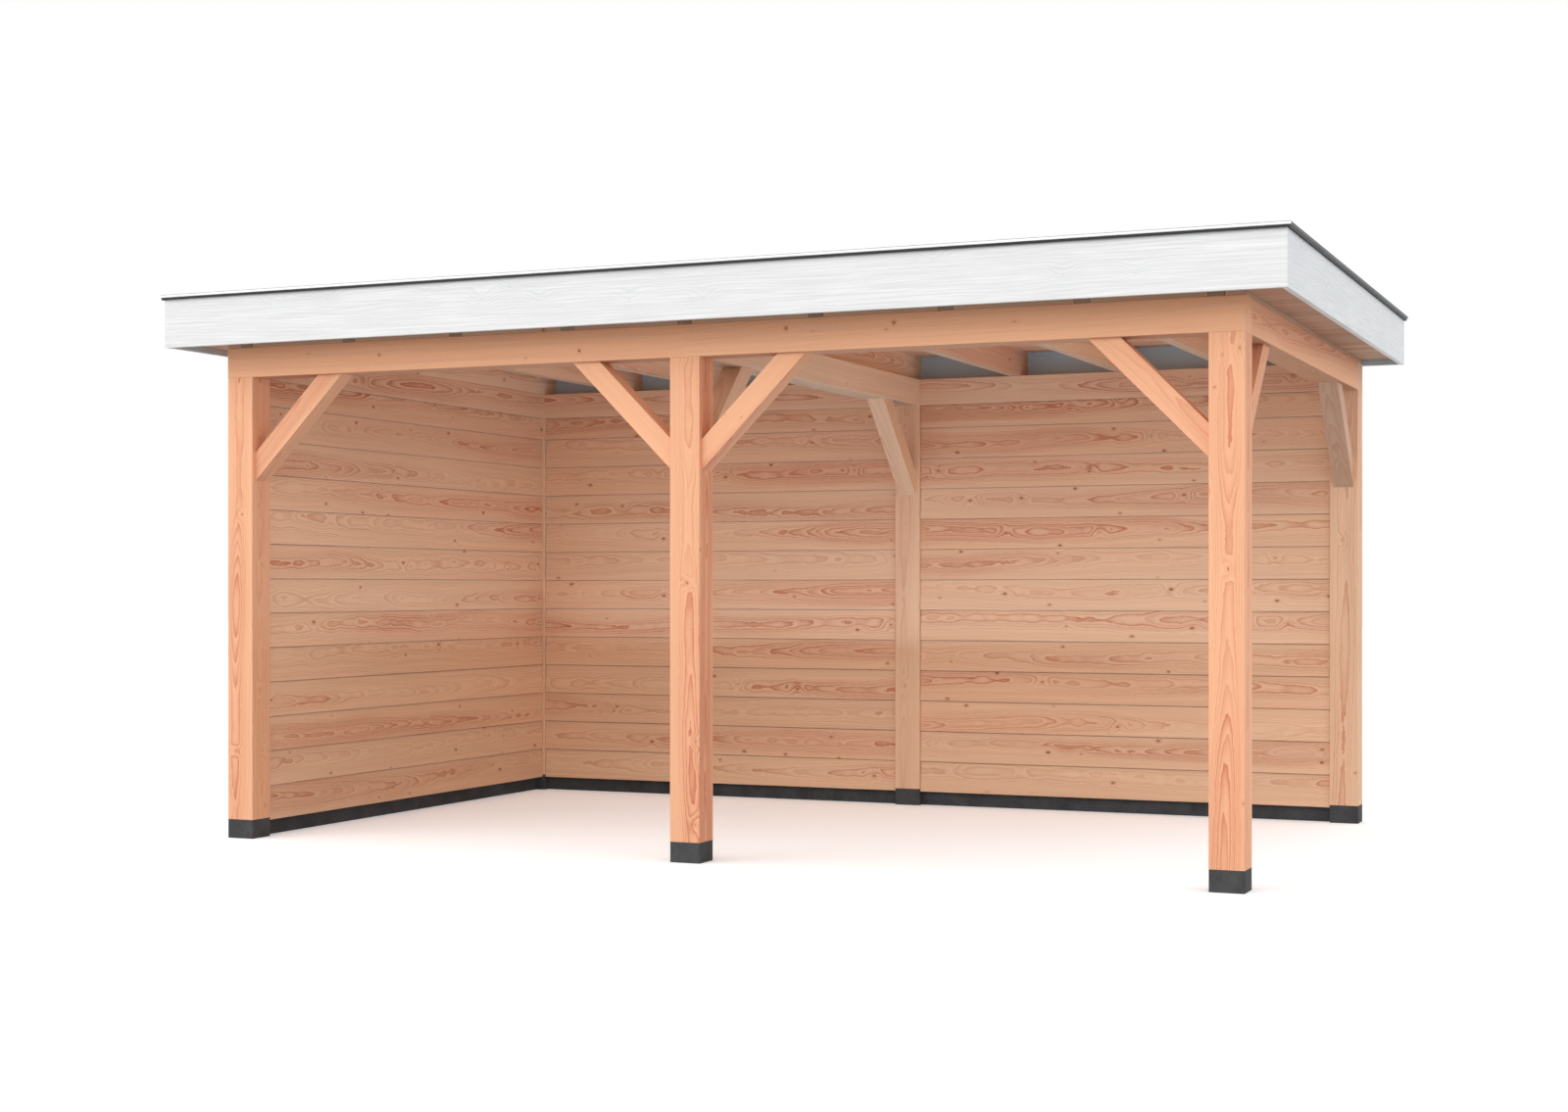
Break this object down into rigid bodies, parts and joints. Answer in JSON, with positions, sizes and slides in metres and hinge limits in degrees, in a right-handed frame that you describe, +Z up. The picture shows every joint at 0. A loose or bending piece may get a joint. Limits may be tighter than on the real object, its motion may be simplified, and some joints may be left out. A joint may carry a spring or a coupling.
{
  "type": "timber carport",
  "caption": "Double timber carport with a flat roof, white fascia, braced posts on concrete feet, and clad left and rear walls.",
  "frame": {"origin": "on the ground under the middle of the whole outline", "axes": "+X to the right seen from the open front, +Y to the rear, +Z up"},
  "size_m": [5.586, 3.436, 2.728],
  "materials": {
    "concrete": "anthracite cast concrete, fine speckle",
    "plinth": "anthracite concrete plank, matt",
    "timber": "planed untreated softwood with grain and knots",
    "cladding": "planed weatherboards with grain and knots",
    "roof_timber": "planed untreated softwood",
    "membrane": "black rubber roofing sheet",
    "fascia_paint": "white painted boards with faint grain",
    "trim": "satin aluminium roof edging"
  },
  "bodies": {
    "root": {"beam_front_left": "timber", "beam_front_right": "timber", "beam_left": "timber", "beam_middle": "timber", "beam_rear_left": "timber", "beam_rear_right": "timber", "beam_right": "timber", "brace_front_left": "timber", "brace_front_middle_left": "timber", "brace_front_middle_right": "timber", "brace_front_right": "timber", "brace_middle_front": "timber", "brace_middle_rear": "timber", "brace_right_front": "timber", "brace_right_rear": "timber", "fascia_front": "fascia_paint", "fascia_left": "fascia_paint", "fascia_rear": "fascia_paint", "fascia_right": "fascia_paint", "pier_front_left": "concrete", "pier_front_middle": "concrete", "pier_front_right": "concrete", "pier_rear_left": "concrete", "pier_rear_middle": "concrete", "pier_rear_right": "concrete", "plinth_left": "plinth", "plinth_rear_left": "plinth", "plinth_rear_right": "plinth", "post_front_left": "timber", "post_front_middle": "timber", "post_front_right": "timber", "post_rear_left": "timber", "post_rear_middle": "timber", "post_rear_right": "timber", "rafters": "roof_timber", "roof_deck": "roof_timber", "roof_membrane": "membrane", "soffit_front": "roof_timber", "soffit_left": "roof_timber", "soffit_right": "roof_timber", "trim_front": "trim", "trim_left": "trim", "trim_rear": "trim", "trim_right": "trim", "wall_left": "cladding", "wall_rear_left": "cladding", "wall_rear_right": "cladding"}
  },
  "joints": []
}
